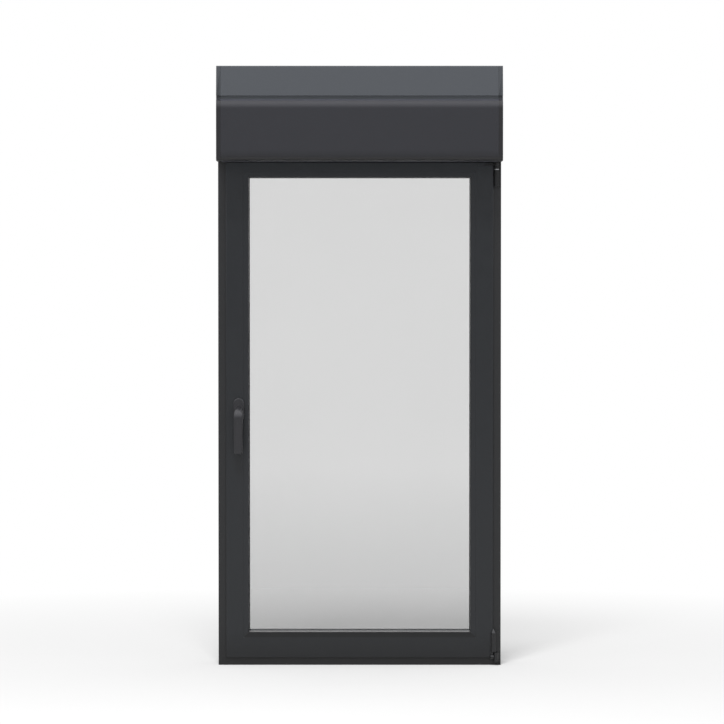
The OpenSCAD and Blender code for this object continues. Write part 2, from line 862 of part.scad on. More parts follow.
module top_rod() {
    x0 = -groove_x + corner_leg + rod_travel + rod_end_gap;
    x1 = hinge_x - stay_len - 62;
    color("#b9bcbf") {
        block(x0, x1, groove_y - rod_w / 2, groove_y + rod_w / 2, rod_z, rod_z + rod_t);
        for (x = [x0 + 16, x1 - 16]) translate([x, groove_y, rod_z]) glider();
        translate([top_cam_x(), groove_y, rod_z]) cam();
    }
}

module corner_drive() {
    w = 15;
    color("#a3a6a9") translate([0, groove_y + w / 2, 0]) rotate([90, 0, 0]) linear_extrude(w) {
        rect(-rod_x - rod_t, -rod_x, groove_z - corner_leg, groove_z - 4);
        rect(-groove_x + 4, -groove_x + corner_leg, rod_z, rod_z + rod_t);
        intersection() {
            difference() {
                translate([-groove_x + 4, groove_z - 4]) circle(r = 4.1 + rod_t);
                translate([-groove_x + 4, groove_z - 4]) circle(r = 4.1);
            }
            rect(-groove_x - 20, -groove_x + 4, groove_z - 4, groove_z + 20);
        }
    }
}

// Hinges

module hinge_web(z0, z1) {
    block(hinge_x, half_w - 1.5, hinge_y, y_in - 2, z0, z1);
    translate([hinge_x, hinge_y, z0]) cylinder(r = barrel_r, h = z1 - z0);
}

washer_z = box_z - 22.5;
washer_t = 2.6;

module upper_bearing() {
    z1 = box_z - 1;
    z0 = z1 - top_bearing_h;
    color("#4a4c52") difference() {
        union() {
            block(sash_x + 4, half_w - 1, y_in - 3, y_in, z0, z1);
            hinge_web(z0, washer_z);
            hinge_web(washer_z + washer_t, arm_z - 0.5);
            hinge_web(arm_z + stay_t + 0.5, z1);
        }
        translate([hinge_x, hinge_y, z0 - 1]) cylinder(r = pin_r + run_fit, h = top_bearing_h + 2);
    }
}

module upper_pin() {
    z1 = box_z - 1.2;
    z0 = box_z - 1 - top_bearing_h;
    color("#b9bcbf") {
        translate([hinge_x, hinge_y, z0 - 2]) cylinder(r = pin_r, h = z1 - z0 + 2);
        translate([hinge_x, hinge_y, z0 - 2]) cylinder(r = barrel_r - 1, h = 2);
        translate([hinge_x, hinge_y, washer_z + 0.1]) cylinder(r = barrel_r, h = washer_t - 0.2);
    }
}

function across(a, b) = let (d = b - a) [-d[1], d[0]] / norm(d);

// A point beside b, h from both lines of the bend a, b, c
function bend_point(a, b, c, h) = let (n = across(a, b), m = n + across(b, c)) b + m * h / (m * n);

// The stay arm, drawn about the hinge axis: cranked round the frame's corner, then straight to its slot
module stay_arm() {
    p = [[0, 0], [-31, 10], [-55, arm_y], [-stay_len + 12, arm_y]];
    h = arm_w / 2;
    slot_in = -stay_len + 10;
    slot_out = -stay_len - 3;
    slot_r = 4.7;
    color("#a3a6a9") translate([hinge_x, hinge_y, arm_z]) difference() {
        union() {
            cylinder(r = h + 0.4, h = stay_t);
            linear_extrude(stay_t) polygon([
                p[0] + across(p[0], p[1]) * h,
                bend_point(p[0], p[1], p[2], h), bend_point(p[1], p[2], p[3], h),
                p[3] + [0, -h], p[3] + [0, h],
                bend_point(p[1], p[2], p[3], -h), bend_point(p[0], p[1], p[2], -h),
                p[0] - across(p[0], p[1]) * h
            ]);
            translate([slot_out, arm_y - h - 2, 0]) cube([slot_in - slot_out + 6, arm_w + 4, stay_t]);
            translate([slot_out, arm_y, 0]) cylinder(r = h + 2, h = stay_t);
        }
        translate([0, 0, -1]) cylinder(r = pin_r + run_fit, h = stay_t + 2);
        translate([slot_out, arm_y - slot_r, -1]) cube([slot_in - slot_out, 2 * slot_r, stay_t + 2]);
        for (x = [slot_in, slot_out]) translate([x, arm_y, -1]) cylinder(r = slot_r, h = stay_t + 2);
    }
}

// Runs in the groove of the top rail; its stud reaches up through the stay arm's slot
module stay_slider() {
    color("#b9bcbf") translate([slide_x, groove_y, rod_z]) {
        glider();
        cylinder(r = 3, h = box_z - 1.5 - rod_z);
    }
}

module lower_bearing() {
    z0 = 9;
    lug = 4.5;
    color("#4a4c52") {
        block(sash_x + 4, half_w - 1, y_in - 3, y_in, z0, 98);
        hinge_web(z0, z0 + lug);
        translate([hinge_x, hinge_y, z0]) cylinder(r = pin_r, h = 25);
    }
}

eye_x0 = sash_x - 7;
knuckle_z0 = 13.9;
knuckle_z1 = 36;

// Carries the sash at the foot: turns on the lower bearing's post and holds the tilt trunnion
module swivel_knuckle() {
    color("#6a6c72") difference() {
        union() {
            translate([hinge_x, hinge_y, knuckle_z0]) cylinder(r = barrel_r, h = knuckle_z1 - knuckle_z0);
            rod_along_x(pin_r, eye_x0, hinge_x - pin_r - 1, hinge_y, tilt_z);
        }
        translate([hinge_x, hinge_y, knuckle_z0 - 1]) cylinder(r = pin_r + run_fit, h = 30);
    }
}

module hinge_recess() {
    rod_along_x(barrel_r + 0.3, eye_x0 - 0.5, sash_x + 1, hinge_y, tilt_z);
}

module hinge_band() {
    x0 = sash_x - 6;
    x1 = hinge_x - 0.8;
    r = (x1 - x0) / 2;
    y0 = hinge_y - 6;
    z0 = knuckle_z1 + 2;
    z1 = 92;
    color("#4a4c52") difference() {
        union() {
            rod_along_x(barrel_r, eye_x0, sash_x + 1.4, hinge_y, tilt_z);
            block(eye_x0, x0 + 6, sash_y - 4, sash_y, tilt_z + 4, z1 - 8);
            intersection() {
                translate([(x0 + x1) / 2, y0 + r, z0]) {
                    cylinder(r = r, h = z1 - z0);
                    translate([0, 0, z1 - z0]) cylinder(r1 = r, r2 = 1, h = 12);
                }
                block(x0, x1, y0, sash_y, z0, z1 + 12);
            }
        }
        rod_along_x(pin_r + run_fit, eye_x0 - 1, sash_x + 3, hinge_y, tilt_z);
    }
}

// Shutter box

gap_z0 = box_z + inspection_h;
groove_h = 10;
upper_z = gap_z0 + groove_h;
back_step = 10;
cap_in = half_w - cap_t;

// Raises a drawing of Y and Z along X from x0 to x1
module along_box(x0, x1) {
    translate([x0, 0, 0]) rotate([90, 0, 90]) linear_extrude(x1 - x0) children();
}

// Points of a quarter round, from angle a0 to a1 about a centre in Y and Z
function arc(cy, cz, r, a0, a1) = [
    for (i = [0:12]) let (a = a0 + (a1 - a0) * i / 12) [cy + r * cos(a), cz + r * sin(a)]
];

function head_angle(inset, reach) = acos((reach - cover_top_r) / (cover_top_r - inset));

// Front of the inspection cover from its foot to the groove, which it meets at a distance behind the front
function cover_front(inset, reach) = concat(
    arc(box_y0 + cover_r, box_z + cover_r, cover_r - inset, 270, 180),
    arc(box_y0 + cover_top_r, gap_z0 - cover_top_r * sin(head_angle(0, back_step)), cover_top_r - inset,
        180, head_angle(inset, reach))
);

cover_lip = 3;
top_edge = 2.5;

// Sloped front, chamfered edge and top of the upper cover, from the groove up
function upper_front(inset) = [
    [box_y0 + cover_lip + inset, upper_z + inset], [box_y0 + cover_lip + lean + inset, box_top - top_edge],
    [box_y0 + cover_lip + lean + top_edge, box_top - inset]
];

module end_cap(side) {
    x0 = side == "left" ? -half_w : cap_in;
    plate = 4;
    rim = 12;
    color("#484a4f") difference() {
        along_box(x0, x0 + cap_t) polygon(concat(
            cover_front(0, back_step), [[box_y0 + back_step, upper_z]], upper_front(0), [
                [box_y1, box_top], [box_y1, frame_h], [y_in - 0.5, frame_h], [y_in - 0.5, box_z]
            ]
        ));
        // The inner side is open, with a rim all round
        along_box(side == "left" ? x0 + plate : x0 - 1, side == "left" ? 1 - cap_in : x0 + cap_t - plate)
            rect(box_y0 + back_step + rim, box_y1 - rim, frame_h + rim, box_top - rim);
    }
}

module end_cap_left() end_cap("left");

module end_cap_right() end_cap("right");

module upper_cover() {
    x = cap_in - 0.2;
    t = panel_t;
    inner = upper_front(t);
    step = box_y0 + back_step;
    color("#5b5d62") along_box(-x, x) polygon(concat(upper_front(0), [
        [box_y1, box_top], [box_y1, box_top - t], inner[2], inner[1], inner[0],
        [step + t, upper_z + t], [step + t, gap_z0 - 12], [step, gap_z0 - 12], [step, upper_z]
    ]));
}

module inspection_cover() {
    x = cap_in - 0.2;
    t = panel_t;
    foot_y = box_y0 + back_step + 8;
    inner = cover_front(t, back_step - 0.2);
    color("#484a4f") along_box(-x, x) polygon(concat(
        [[foot_y, box_z]], cover_front(0, back_step - 0.2),
        [for (i = [len(inner) - 1:-1:0]) inner[i]], [[foot_y, box_z + t]]
    ));
}

module box_base() {
    x = cap_in - 0.2;
    wall_y = y_in - 0.5;
    color("#3a3c40") along_box(-x, x) {
        rect(box_y0 + back_step + 8.2, wall_y, box_z, box_z + panel_t);
        rect(wall_y - panel_t, wall_y, box_z, frame_h + panel_t);
        rect(wall_y - panel_t, y_out + 3, frame_h, frame_h + panel_t);
    }
}

module box_back() {
    x = cap_in - 0.2;
    color("#3a3c40") along_box(-x, x) {
        rect(box_y1 - panel_t, box_y1, frame_h, box_top - panel_t);
        rect(box_y1 - 8, box_y1, frame_h, frame_h + panel_t);
    }
}

tube_x = cap_in - 24;
bore_r = tube_r - 2.5;
stub_r = 9;

// Eight-sided winding tube with a plug for the stub axle at its left end
module winding_tube() {
    color("#9a9da0") difference() {
        rotate_to_x(-tube_x, tube_x) rotate(22.5) cylinder(r = tube_r / cos(22.5), h = 2 * tube_x, $fn = 8);
        rod_along_x(bore_r, -tube_x + 30, tube_x + 1, roll_y, roll_z);
        rod_along_x(stub_r + run_fit, -tube_x - 1, -tube_x + 31, roll_y, roll_z);
    }
}

module rotate_to_x(x0, x1) {
    translate([x0, roll_y, roll_z]) rotate([0, 90, 0]) children();
}

// Tubular motor: its head is the tube's right-hand bearing
module motor() {
    head = 40;
    crown = 25;
    color("#2b2d2f") {
        rod_along_x(bore_r - run_fit, tube_x - head, tube_x + 0.5, roll_y, roll_z);
        rod_along_x(bore_r - 6, tube_x - motor_len + crown, tube_x - head, roll_y, roll_z);
        rod_along_x(bore_r - run_fit, tube_x - motor_len, tube_x - motor_len + crown, roll_y, roll_z);
    }
}

// A square plate in the end cap with a round boss that reaches the tube's end
module bearing_plate(x0, x1, boss_x0, boss_x1) {
    side = 76;
    block(x0, x1, roll_y - side / 2, roll_y + side / 2, roll_z - side / 2, roll_z + side / 2);
    rod_along_x(22, boss_x0, boss_x1, roll_y, roll_z);
}

module shaft_bearings() {
    face = cap_in + cap_t - 4;
    color("#8d9094") {
        bearing_plate(-face, -face + 5, -face + 4, -tube_x - 0.5);
        rod_along_x(stub_r, -tube_x - 1, -tube_x + 26, roll_y, roll_z);
        bearing_plate(face - 5, face, tube_x + 0.5, face - 4);
    }
}

// The wound curtain, a spiral of slats whose outer end hangs down at the back
module curtain_roll() {
    r0 = tube_r / cos(22.5) + slat_t / 2 + 0.3;
    n = floor(curtain_turns * 24);
    x = tube_x - 6;
    function at(i, off) = let (a = (n - i) * 15, r = r0 + slat_pitch * i / 24 + off)
        [r * cos(a), r * sin(a)];
    color("#55585c") translate([0, roll_y, roll_z]) along_box(-x, x) polygon(concat(
        [for (i = [0:n]) at(i, -slat_t / 2)],
        [for (i = [n:-1:0]) at(i, slat_t / 2)]
    ));
}

// Guide rails and the bottom bar of the curtain

module guide_rail(side) {
    m = side == "left" ? 1 : 0;
    y1 = y_out + rail_d;
    color("#35383b") mirror([m, 0, 0]) linear_extrude(frame_h) difference() {
        rect(half_w - rail_w, half_w, y_out, y1);
        rect(half_w - rail_w - 1, half_w - 7, slot_y - slot_w / 2, slot_y + slot_w / 2);
        for (y = [y_out + 1.5, y1 - 1.5 - 3]) rect(half_w - rail_w + 8, half_w - 12, y, y + 3);
    }
}

module guide_rail_left() guide_rail("left");

module guide_rail_right() guide_rail("right");

module bottom_bar() {
    t = slot_w - 0.6;
    z1 = frame_h - 2;
    x = half_w - 7.3;
    color("#55585c") along_box(-x, x) difference() {
        rect(slot_y - t / 2, slot_y + t / 2, z1 - 56, z1);
        rect(slot_y - 4, slot_y + 4, z1 - 2, z1 + 44);
        rect(slot_y - t / 2 + 2, slot_y + t / 2 - 2, z1 - 50, z1 - 8);
    }
}

frame_left();
frame_right();
frame_head();
frame_sill();
frame_outer_shells();
frame_insulating_bars();
frame_corner_cleats();
centre_gasket();
strikers();
fixing_sleeves();
drain_caps();
sash_left();
sash_right();
sash_top();
sash_bottom();
sash_outer_shells();
sash_insulating_bars();
sash_corner_cleats();
overlap_gasket();
bead_left();
bead_right();
bead_top();
bead_bottom();
inner_gasket();
outer_gasket();
inner_pane();
outer_pane();
spacer_bar();
edge_seal();
setting_blocks();
rosette();
rosette_screws();
lever();
spindle_bar();
drive_gear();
gear_case();
side_rod();
side_cams();
top_rod();
corner_drive();
upper_bearing();
upper_pin();
stay_arm();
stay_slider();
lower_bearing();
swivel_knuckle();
hinge_band();
end_cap_left();
end_cap_right();
upper_cover();
inspection_cover();
box_base();
box_back();
shaft_bearings();
winding_tube();
motor();
curtain_roll();
bottom_bar();
guide_rail_left();
guide_rail_right();
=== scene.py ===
import json
import math

import bmesh
import bpy
from bpy.props import FloatProperty, FloatVectorProperty, IntProperty, PointerProperty
from mathutils import Matrix, Vector


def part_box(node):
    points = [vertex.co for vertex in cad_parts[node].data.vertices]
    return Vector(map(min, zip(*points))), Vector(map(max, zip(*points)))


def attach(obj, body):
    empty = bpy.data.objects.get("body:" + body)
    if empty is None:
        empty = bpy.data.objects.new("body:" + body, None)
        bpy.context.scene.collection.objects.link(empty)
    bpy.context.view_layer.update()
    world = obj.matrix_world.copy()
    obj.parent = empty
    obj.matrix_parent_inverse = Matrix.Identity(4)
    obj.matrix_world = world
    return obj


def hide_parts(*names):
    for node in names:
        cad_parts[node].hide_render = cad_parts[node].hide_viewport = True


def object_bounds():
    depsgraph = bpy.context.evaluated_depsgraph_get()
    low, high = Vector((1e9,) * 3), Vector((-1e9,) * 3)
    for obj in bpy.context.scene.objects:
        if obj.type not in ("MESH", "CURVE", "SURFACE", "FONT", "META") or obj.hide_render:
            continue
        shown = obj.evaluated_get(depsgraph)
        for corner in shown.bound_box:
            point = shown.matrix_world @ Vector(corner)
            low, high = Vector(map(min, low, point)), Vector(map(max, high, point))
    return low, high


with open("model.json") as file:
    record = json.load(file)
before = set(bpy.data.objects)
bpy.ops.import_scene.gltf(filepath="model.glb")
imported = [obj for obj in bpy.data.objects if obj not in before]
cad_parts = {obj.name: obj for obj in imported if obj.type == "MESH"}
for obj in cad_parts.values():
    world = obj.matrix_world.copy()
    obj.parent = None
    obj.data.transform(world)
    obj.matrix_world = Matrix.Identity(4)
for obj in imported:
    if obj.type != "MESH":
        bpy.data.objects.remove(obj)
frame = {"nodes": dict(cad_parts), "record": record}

bl_info = {
    "name": "Tilt and turn window",
    "version": (1, 0, 0),
    "blender": (4, 5, 0),
    "location": "View3D > Sidebar > Window",
    "description": "Materials, finished pieces and studio for a tilt and turn window "
                   "with a shutter box",
    "category": "Object",
}

CAD_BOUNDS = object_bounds()
LEVER_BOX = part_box("lever")
ROSETTE_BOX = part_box("rosette")
SASH_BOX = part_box("sash_right")
ARM_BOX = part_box("stay_arm")
TOP_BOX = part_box("sash_top")
BEAD_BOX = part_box("bead_right")
COVER_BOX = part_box("inspection_cover")
COVER_FOOT = COVER_BOX[0][2]
COVER_TOP = COVER_BOX[1][2]

# The frame's room face, from which the camera's distance is measured
ROOM_FACE = -0.035


def band(start, end, gain):
    """A band of painted light or shade on a paint: the height where it starts, where it is full,
    and its gain.
    """
    return start, end, gain


# The bars: painted shade towards the foot, and painted light under the box that lifts the box's
# shadow on them
BAR_PAINTED_SHADE_AND_LIGHT = (band(0.10, 0.02, gain=0.50), band(1.28, 1.415, gain=2.7))
# The box: painted shade towards the inspection cover's foot, and a painted highlight where its
# shoulder turns up
FOOT_PAINTED_SHADE = band(COVER_FOOT + 0.030, COVER_FOOT + 0.010, gain=0.45)
SHOULDER_PAINTED_HIGHLIGHT = band(COVER_TOP - 0.005, COVER_TOP - 0.001, gain=4.0)
# The upper cover: painted light makes the shaded wall of the groove between the covers lighter than
# its face
GROOVE_PAINTED_LIGHT = (
    band(COVER_TOP + 0.001, COVER_TOP + 0.0085, gain=2.2),
    band(COVER_TOP + 0.0098, COVER_TOP + 0.0102, gain=1.0),
)

# Paint: lowest and highest gain of its tone, the shares of its two noises, change of its
# roughness, and its sheen
PAINT_SPREAD = (0.92, 1.08)
PAINT_CLOUDS = 0.7
PAINT_SPECKS = 0.3
PAINT_GLOSS = 0.08
PAINT_SHEEN = 0.44

# Moulded surfaces: scale and gains of the blotches, scale, depth and strength of the dents, and
# scale and amount of the change in roughness
RUBBER = {
    "blotches": 60.0, "spread": (0.8, 1.25),
    "dents": 900.0, "depth": 0.00005, "strength": 0.3,
    "patches": 25.0, "gloss": 0.1,
}
PLASTIC = {
    "blotches": 40.0, "spread": (0.9, 1.1),
    "dents": 1100.0, "depth": 0.00003, "strength": 0.25,
    "patches": 30.0, "gloss": 0.08,
}

# Metal: gains of the drawn lines' tone, change of its roughness, gain of a darker end, and the
# lines' scales for a piece along X, for one along Z and for a compact one
METAL_SPREAD = (0.85, 1.1)
METAL_GLOSS = 0.14
DARKER_END_GAIN = 0.12
ALONG_X = (6.0, 900.0, 900.0)
ALONG_Z = (900.0, 900.0, 6.0)
EVEN = (300.0, 300.0, 300.0)
STEEL = (0.50, 0.51, 0.52)

# Panes: heights between which they grow more opaque, downwards, as painted shade for the window's
# shadow on the floor behind, and the changes of their roughness and opacity
PANE_SHADE_HEIGHTS = (0.56, 0.10)
PANE_GLOSS = 0.02
PANE_HAZE = 0.008

# The sky that glossy surfaces reflect, with places from straight down (0) to straight up (1), its
# colour behind the window, and how quickly it turns to that
SKY = (
    (0.0, (0.26, 0.26, 0.26, 1.0)),
    (0.52, (0.32, 0.32, 0.325, 1.0)),
    (0.62, (1.05, 1.06, 1.12, 1.0)),
    (0.78, (2.7, 2.7, 2.8, 1.0)),
)
SKY_BEHIND = (0.8, 0.8, 0.8, 1.0)
SKY_TURN = 3.0
WHITE = (1.0, 1.0, 1.0, 1.0)

# Angle from which an edge is rounded, and the angles from which shading stays sharp
EDGE_ANGLE = math.radians(35.0)
COVER_SHARP = math.radians(25.0)
ROSETTE_SHARP = math.radians(40.0)

# Points round each loop of the rosette
STADIUM_SEGMENTS = 64

# Distances under which points are merged: in new pieces, and in the CAD's meshes
MERGE = 1e-6
WELD = 1e-5

# The nodes whose edges are rounded
EDGED = (
    "frame_left", "frame_right", "frame_head", "frame_sill",
    "bead_left", "bead_right", "bead_top",
    "sash_left", "sash_right", "sash_top", "sash_bottom",
    "upper_cover", "box_base",
)


# Shader maths


class Value:
    """A value socket that Python's operators work on; each operation adds a Math node."""

    def __init__(self, graph, socket):
        self.graph = graph
        self.socket = socket

    def _op(self, operation, a, b):
        return self.graph.node("ShaderNodeMath", {"operation": operation}, {0: a, 1: b})

    def __add__(self, other):
        return self._op("ADD", self, other)

    def __radd__(self, other):
        return self._op("ADD", other, self)

    def __sub__(self, other):
        return self._op("SUBTRACT", self, other)

    def __rsub__(self, other):
        return self._op("SUBTRACT", other, self)

    def __mul__(self, other):
        return self._op("MULTIPLY", self, other)

    def __rmul__(self, other):
        return self._op("MULTIPLY", other, self)

    def __truediv__(self, other):
        return self._op("DIVIDE", self, other)

    def __rtruediv__(self, other):
        return self._op("DIVIDE", other, self)

    def __pow__(self, other):
        return self._op("POWER", self, other)

    def __rpow__(self, other):
        return self._op("POWER", other, self)

    def __gt__(self, other):
        """1 where the value is over the other, 0 elsewhere."""
        return self._op("GREATER_THAN", self, other)

    def __lt__(self, other):
        """1 where the value is under the other, 0 elsewhere."""
        return self._op("LESS_THAN", self, other)


class Graph:
    """Builds a material's or the world's node tree."""

    def __init__(self, tree):
        self.tree = tree
        tree.nodes.clear()

    def node(self, kind, settings=None, inputs=None, output=0):
        """Adds a node, sets its settings first and then its sockets, and returns one output."""
        made = self.tree.nodes.new(kind)
        for name, value in (settings or {}).items():
            if name == "ramp":
                elements = made.color_ramp.elements
                while len(elements) < len(value):
                    elements.new(0.5)
                for element, (position, shade) in zip(elements, value):
                    element.position = position
                    element.color = shade
            else:
                setattr(made, name, value)
        for key, value in (inputs or {}).items():
            self.feed(made.inputs[key], value)
        return Value(self, made.outputs[output]) if made.outputs else None

    def feed(self, socket, value):
        """Links a value to a socket, or sets a plain one."""
        if isinstance(value, Value):
            self.tree.links.new(value.socket, socket)
        else:
            socket.default_value = value

    def place(self):
        """The place on the piece, which moves with it."""
        return self.node("ShaderNodeTexCoord", output="Object")

    def noise(self, vector, scale, detail=2.0, roughness=0.5):
        inputs = {"Vector": vector, "Scale": scale, "Detail": detail, "Roughness": roughness}
        return self.node("ShaderNodeTexNoise", {}, inputs)

    def rise(self, value, start, end):
        """0 up to the start, 1 from the end on."""
        inputs = {"Value": value, "From Min": start, "From Max": end}
        return self.node("ShaderNodeMapRange", {}, inputs)

    def bump(self, height, depth, strength):
        inputs = {"Strength": strength, "Distance": depth, "Height": height}
        return self.node("ShaderNodeBump", {}, inputs)

    def mix(self, factor, a, b):
        """Mixes two colours."""
        made = self.tree.nodes.new("ShaderNodeMix")
        made.data_type = "RGBA"
        sockets = [s for s in made.inputs if s.enabled]
        for socket, value in zip(sockets, (factor, a, b)):
            self.feed(socket, value)
        return Value(self, next(s for s in made.outputs if s.enabled))

    def shades(self, factor, rgb, spread):
        """A colour that runs from the spread's low gain to its high one."""
        low, high = spread
        return self.mix(factor, colour(rgb, low), colour(rgb, high))

    def split(self, vector):
        """The three parts of a vector."""
        made = self.node("ShaderNodeSeparateXYZ", {}, {0: vector}).socket.node
        return [Value(self, output) for output in made.outputs]

    def rays(self):
        """Two values: 1 where the camera itself looks, and 1 where a glossy surface reflects."""
        made = self.tree.nodes.new("ShaderNodeLightPath")
        return [Value(self, made.outputs[name]) for name in ("Is Camera Ray", "Is Glossy Ray")]

    def shader(self, **inputs):
        """A Principled BSDF; underscores in the names stand for spaces."""
        named = {key.replace("_", " "): value for key, value in inputs.items()}
        return self.node("ShaderNodeBsdfPrincipled", {}, named)

    def surface(self, **inputs):
        """Ends a material in a Principled BSDF."""
        self.node("ShaderNodeOutputMaterial", {}, {"Surface": self.shader(**inputs)})


def colour(rgb, gain=1.0):
    """An opaque colour for a socket."""
    return (rgb[0] * gain, rgb[1] * gain, rgb[2] * gain, 1.0)


def new_material(name):
    made = bpy.data.materials.new("finish_" + name)
    made.use_nodes = True
    return made, Graph(made.node_tree)


def powder_coat(name, rgb, roughness=0.42, grain=0.00002, bands=(),
                top=None, split=0.0, depth=-1.0, top_gloss=0.0):
    """Baked powder paint: fine orange peel, and slight changes of tone and gloss.

    Each of the bands paints light or shade into the tone between two heights. A top colour covers
    what lies above split and behind depth, and is smoother by top_gloss; the pieces that use it
    carry painted light or shade with it.
    """
    made, g = new_material(name)
    place = g.place()
    _, y, z = g.split(place)
    peel = g.noise(place, scale=1400.0, detail=3.0)
    cloud = g.noise(place, scale=6.0, detail=3.0)
    speck = g.noise(place, scale=420.0)
    tone = g.shades(cloud * PAINT_CLOUDS + speck * PAINT_SPECKS, rgb, PAINT_SPREAD)
    # Painted light and shade, band by band
    for start, end, gain in bands:
        tone = g.mix(g.rise(z, start, end), tone, colour(rgb, gain))
    rough = roughness - PAINT_GLOSS / 2 + PAINT_GLOSS * g.noise(place, scale=35.0)
    if top is not None:
        above = (z > split) * (y > depth)
        tone = g.mix(above, tone, g.shades(cloud, top, PAINT_SPREAD))
        rough = rough - above * top_gloss
    g.surface(
        Base_Color=tone,
        Roughness=rough,
        Normal=g.bump(peel, depth=grain, strength=0.35),
        Specular_IOR_Level=PAINT_SHEEN,
    )
    return made


def moulded(name, rgb, roughness, blotches, spread, dents, depth, strength, patches, gloss):
    """Rubber or plastic: blotches of tone, fine dents, and a roughness that rises in patches."""
    made, g = new_material(name)
    place = g.place()
    g.surface(
        Base_Color=g.shades(g.noise(place, blotches), rgb, spread),
        Roughness=roughness + gloss * g.noise(place, patches),
        Normal=g.bump(g.noise(place, dents), depth, strength),
    )
    return made


def drawn_metal(name, rgb, stretch, roughness, dark_below=None):
    """Drawn or rolled metal: fine lines along the piece, and a darker end below a height."""
    made, g = new_material(name)
    place = g.place()
    stretched = g.node("ShaderNodeMapping", {}, {"Vector": place, "Scale": stretch})
    lines = g.noise(stretched, scale=1.0, detail=4.0, roughness=0.6)
    tone = g.shades(lines, rgb, METAL_SPREAD)
    if dark_below:
        z = g.split(place)[2]
        tone = g.mix(z < dark_below, tone, colour(rgb, DARKER_END_GAIN))
    g.surface(
        Base_Color=tone,
        Metallic=1.0,
        Roughness=roughness + METAL_GLOSS * lines,
        Normal=g.bump(lines, depth=0.00003, strength=0.2),
    )
    return made


def pane_glass(name, tint, alpha, painted_shade_alpha):
    """Clear glass with a faint haze, more opaque towards the pane's foot as painted shade for the
    window's shadow on the floor behind.
    """
    made, g = new_material(name)
    place = g.place()
    haze = g.noise(place, scale=3.0)
    # Painted shade towards the pane's foot
    foot = g.rise(g.split(place)[2], *PANE_SHADE_HEIGHTS)
    g.surface(
        Base_Color=colour(tint),
        Roughness=0.02 + PANE_GLOSS * haze,
        Alpha=alpha - PANE_HAZE / 2 + PANE_HAZE * haze + painted_shade_alpha * foot,
    )
    return made


# Settings


class WindowColours(bpy.types.PropertyGroup):
    """Colours of the finishes, some of them painted light or shade."""

    frame: FloatVectorProperty(
        name="Frame", description="Powder coat of the outer frame",
        subtype="COLOR", size=3, default=(0.0068, 0.0070, 0.0076))
    sash: FloatVectorProperty(
        name="Sash", description="Powder coat of the sash and its beads",
        subtype="COLOR", size=3, default=(0.0076, 0.0087, 0.0103))
    box: FloatVectorProperty(
        name="Box", description="Powder coat of the box",
        subtype="COLOR", size=3, default=(0.0116, 0.0120, 0.0150))
    # Painted light: the upper cover is lighter than the box, standing in for the light on its
    # upward-leaning face; the end caps' top takes it too
    upper: FloatVectorProperty(
        name="Upper cover", description="Powder coat of the box's upper cover",
        subtype="COLOR", size=3, default=(0.0322, 0.0360, 0.0412))
    end_cap: FloatVectorProperty(
        name="End caps", description="Powder coat of the end caps below the upper cover",
        subtype="COLOR", size=3, default=(0.0056, 0.0055, 0.0066))
    # Painted highlight: the colour of the lower bead's top
    ledge: FloatVectorProperty(
        name="Ledge", description="Sunlit top of the lower bead",
        subtype="COLOR", size=3, default=(0.28, 0.28, 0.285))
    handle: FloatVectorProperty(
        name="Handle", description="Lacquer of the lever and the rosette",
        subtype="COLOR", size=3, default=(0.0125, 0.0125, 0.0145))
    glass_alpha: FloatProperty(
        name="Glass opacity", description="Opacity of each pane",
        subtype="FACTOR", min=0.0, max=1.0, default=0.097)
    # Painted shade: opacity added towards each pane's foot, for the window's shadow on the floor
    # behind
    painted_shade_alpha: FloatProperty(
        name="Glass foot", description="Opacity added towards the foot of each pane",
        subtype="FACTOR", min=0.0, max=1.0, default=0.062)


class WindowSizes(bpy.types.PropertyGroup):
    """Sizes of the finished pieces."""

    edge: FloatProperty(
        name="Edge", description="Width of the rounded edge of each bar",
        unit="LENGTH", default=0.0004)
    lever_segments: IntProperty(
        name="Lever segments", description="Points round the lever",
        min=12, max=96, default=40)
    shoulder: FloatProperty(
        name="Shoulder", description="Length of the covers' shoulder against the solid's",
        default=1.38)
    rim: FloatProperty(
        name="Rosette rim", description="Radius of the rosette's rounded rim",
        unit="LENGTH", default=0.0027)
    collar: FloatProperty(
        name="Collar", description="Radius of the rosette's collar",
        unit="LENGTH", default=0.0119)
    lever_bend: FloatProperty(
        name="Lever bend", description="Radius of the bend between the lever's neck and grip",
        unit="LENGTH", default=0.023)
    grip_width: FloatProperty(
        name="Grip width", description="Width of the lever's grip in its middle",
        unit="LENGTH", default=0.0245)
    grip_depth: FloatProperty(
        name="Grip depth", description="Thickness of the lever's grip in its middle",
        unit="LENGTH", default=0.0125)


